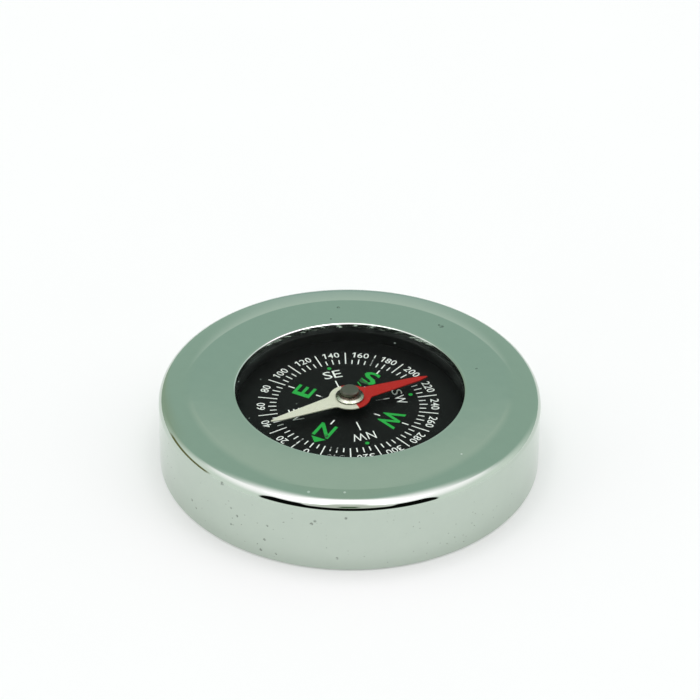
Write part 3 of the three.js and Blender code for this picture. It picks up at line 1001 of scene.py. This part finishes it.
def make_cap():
    head, foot, top = cap_high.x, cap_low.z, cap_high.z
    under, roof = top - CAP_HEAD, jewel_high.z
    corners = [
        (0, roof, 0), (CAP_HOLLOW, roof, 0), (CAP_HOLLOW, foot, 0), (CAP_NECK, foot, 0),
        (CAP_NECK, under, 0), (head, under, 0.05), (head, top - CAP_BEVEL, 0.06),
        (head - CAP_BEVEL, top, 0.05), (0, top, 0),
    ]
    mesh = turned("needle_button", eased(corners, steps=4), NEEDLE_SIDES)
    piece("needle_button", mesh, "needle", finish("dull_grey", dull_grey), ["needle_cap"])


def make_jewel():
    edge, low, top = jewel_high.x, jewel_low.z, jewel_high.z
    mouth = [(0, low + JEWEL_RECESS, 0), (JEWEL_MOUTH, low, 0.03)]
    body = [(edge, low, 0.05), (edge, top, 0.05), (0, top, 0)]
    mesh = turned("jewel", eased(mouth + body, steps=3), JEWEL_SIDES)
    piece("jewel", mesh, "needle", finish("jewel_red", jewel_red), ["jewel_bearing"])


# Base

def felt(net):
    place = net.place()
    fibre = net.noise(place, 0.35, 5, 0.75)
    tuft = net.cells(place, 0.8)
    patch = net.noise(place, 7, 3)
    color = net.blend(fibre.rise(0.3, 0.7), (0.008, 0.034, 0.016), (0.035, 0.11, 0.055))
    color = net.blend(patch.rise(0.35, 0.7) * 0.5, color, (0.014, 0.05, 0.026))
    sockets = {"Base Color": color, "Roughness": 0.95, "Sheen Weight": 0.12}
    net.surface({**sockets, "Normal": net.bump(fibre + 0.4 * tuft, 0.3)})


def moulded_black(net):
    place = net.place()
    grain = net.noise(place, 0.3, 3)
    color = net.blend(grain, (0.012, 0.013, 0.0125), (0.022, 0.024, 0.023))
    net.surface({"Base Color": color, "Roughness": 0.5 + 0.15 * grain, "Normal": net.bump(grain, 0.02)})


def foam(net):
    place = net.place()
    pores = net.cells(place, 0.35)
    color = net.blend(pores, (0.008, 0.008, 0.008), (0.035, 0.036, 0.035))
    net.surface({"Base Color": color, "Roughness": 0.95, "Normal": net.bump(pores, 0.12)})


def make_base():
    low, high, edge = felt_low.z, felt_high.z, felt_high.x
    corners = [(0, low, 0), (edge, low, 0.25), (edge, high, 0.15), (0, high, 0)]
    mesh = turned("felt_disc", eased(corners, steps=5), FELT_SIDES)
    piece("felt_disc", mesh, "case", finish("green_felt", felt), ["felt_pad"])
    kept = {
        "base_plate": finish("moulded_black", moulded_black),
        "capsule_carrier": finish("moulded_filling", moulded_black),
        "ballast_ring": finish("cast_brass", turned_brass),
        "cushion_ring": finish("black_foam", foam),
    }
    screw_finish = finish("nickel_plate", nickel)
    kept.update({f"base_screw_{n}": screw_finish for n in (1, 2, 3, 4)})
    for node, material in kept.items():
        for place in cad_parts[node].material_slots:
            place.material = material


# Studio

def make_camera():
    turn, rise, roll = (math.radians(a) for a in (VIEW_BEARING, VIEW_RISE, VIEW_ROLL))
    stand = Vector((math.sin(turn), math.cos(turn), 0))
    forward = -stand * math.cos(rise) - UP * math.sin(rise)
    level = forward.cross(UP).normalized()
    over = level.cross(forward)
    right = level * math.cos(roll) + over * math.sin(roll)
    up = over * math.cos(roll) - level * math.sin(roll)
    target = UP * case_high.z * MM
    spot = target - right * VIEW_RIGHT - up * VIEW_UP - forward * VIEW_DEPTH
    data = bpy.data.cameras.new("camera")
    data.lens = FOCAL_LENGTH
    data.sensor_width = FILM_WIDTH
    data.clip_start = 0.01
    camera = bpy.data.objects.new("camera", data)
    turned_axes = Matrix((right, up, -forward)).transposed().to_4x4()
    camera.matrix_world = Matrix.Translation(spot) @ turned_axes
    bpy.context.scene.collection.objects.link(camera)
    bpy.context.scene.camera = camera


def make_studio():
    """The studio that the chrome mirrors, by rise and swing in degrees. The camera sees white."""
    world = bpy.data.worlds.new("studio")
    bpy.context.scene.world = world
    world.use_nodes = True
    net = Net(world.node_tree)
    way = net.out("ShaderNodeNewGeometry", output="Position")
    rise = net.parts(way)[2].math("ARCSINE") * math.degrees(1)
    near = net.toward(way, VIEW_BEARING)
    side = net.toward(way, VIEW_BEARING + 90)
    turn = side.math("ARCTAN2", near) * math.degrees(1)
    swing = turn.math("ABSOLUTE")
    # Walls, a bright ceiling, and the softer part of it straight above
    room = net.blend(rise.rise(28, 72), (1.02, 1.045, 1.02), (1.8, 1.6, 1.77))
    room = net.blend(rise.between(70, 80, 3), room, (4.2, 4.1, 4.2))
    room = net.blend(rise.rise(83, 88), room, (1.15, 1.12, 1.15))
    # The grey-green far side, with two flat boards straight behind the object and a shaded end
    straight = net.ramp(
        (rise + 90) / 180,
        (0.0, (0.5, 0.55, 0.52)),
        (0.5, (0.33, 0.47, 0.44)),
        (0.54, (0.48, 0.6, 0.56)),
        (0.67, (0.63, 0.73, 0.68)),
    )
    straight = net.blend(rise.rise(31, 32), straight, (0.41, 0.55, 0.49))
    straight = net.blend(rise.rise(35, 36.5), straight, (0.53, 0.64, 0.57))
    straight = net.blend(rise.rise(50, 51.5), straight, (0.43, 0.55, 0.475))
    far = net.blend(swing.rise(168, 177), (0.418, 0.555, 0.487), straight)
    shade = turn.rise(105, 125) * (1 - turn.rise(150, 160)) * (1 - rise.rise(30, 45))
    far = net.blend(shade, far, (0.4, 0.5, 0.4))
    climb = (rise - 46).math("MAXIMUM", 0)
    reach = (swing - 95 - 2.9 * climb) / (45 - 1.1 * climb)
    room = net.blend(reach.rise(0, 1) * (1 - rise.rise(65, 68.5)), room, far)
    # A grey panel over the camera, with a dark streak in it
    panel = (1 - swing.rise(18, 48)) * rise.rise(40, 44) * (1 - rise.rise(79, 88))
    room = net.blend(panel, room, (0.79, 0.765, 0.73))
    streak = (1 - swing.rise(4, 10)) * rise.between(48, 63, 3)
    room = net.blend(streak, room, (0.1, 0.16, 0.09))
    # The dark opening towards the camera, and a small olive area beside it
    brink = rise - 44 - 12 * swing.rise(25, 38)
    opening = rise.rise(12.5, 20) * (1 - brink.rise(-3, 3)) * (1 - (swing - 0.23 * rise).rise(45, 47.5))
    room = net.blend(opening, room, (0.003, 0.004, 0.003))
    olive = turn.between(84, 119, 3) * rise.between(1, 16, 3)
    room = net.blend(olive, room, (0.2, 0.19, 0.08))
    seen = net.out("ShaderNodeLightPath", output="Is Camera Ray")
    shown = net.blend(seen, room, (1, 1, 1))
    sky = net.out("ShaderNodeBackground", None, {"Color": shown, "Strength": 1.0})
    net.node("ShaderNodeOutputWorld", None, {"Surface": sky})


def pale_floor(net):
    grain = net.noise(net.place(), 40, 2)
    color = net.blend(grain, (0.65, 0.665, 0.655), (0.665, 0.68, 0.67))
    glow = {"Emission Color": (0.95, 0.97, 0.955), "Emission Strength": 0.3}
    net.surface({"Base Color": color, "Roughness": 0.9, "Specular IOR Level": 0.0, **glow})


FLOOR_REACH = 6
FLOOR_DROP = 0.00002


def make_floor():
    work = bmesh.new()
    bmesh.ops.create_grid(work, x_segments=1, y_segments=1, size=FLOOR_REACH)
    mesh = bpy.data.meshes.new("floor")
    work.to_mesh(mesh)
    work.free()
    mesh.materials.append(finish("pale_floor", pale_floor))
    floor = bpy.data.objects.new("floor", mesh)
    floor.location.z = -FLOOR_DROP
    bpy.context.scene.collection.objects.link(floor)


bpy.context.scene.view_settings.view_transform = "Standard"
make_camera()
make_studio()
make_floor()
make_case()
make_window()
make_dial()
make_pivot()
make_blade()
make_collar()
make_cap()
make_jewel()
make_base()
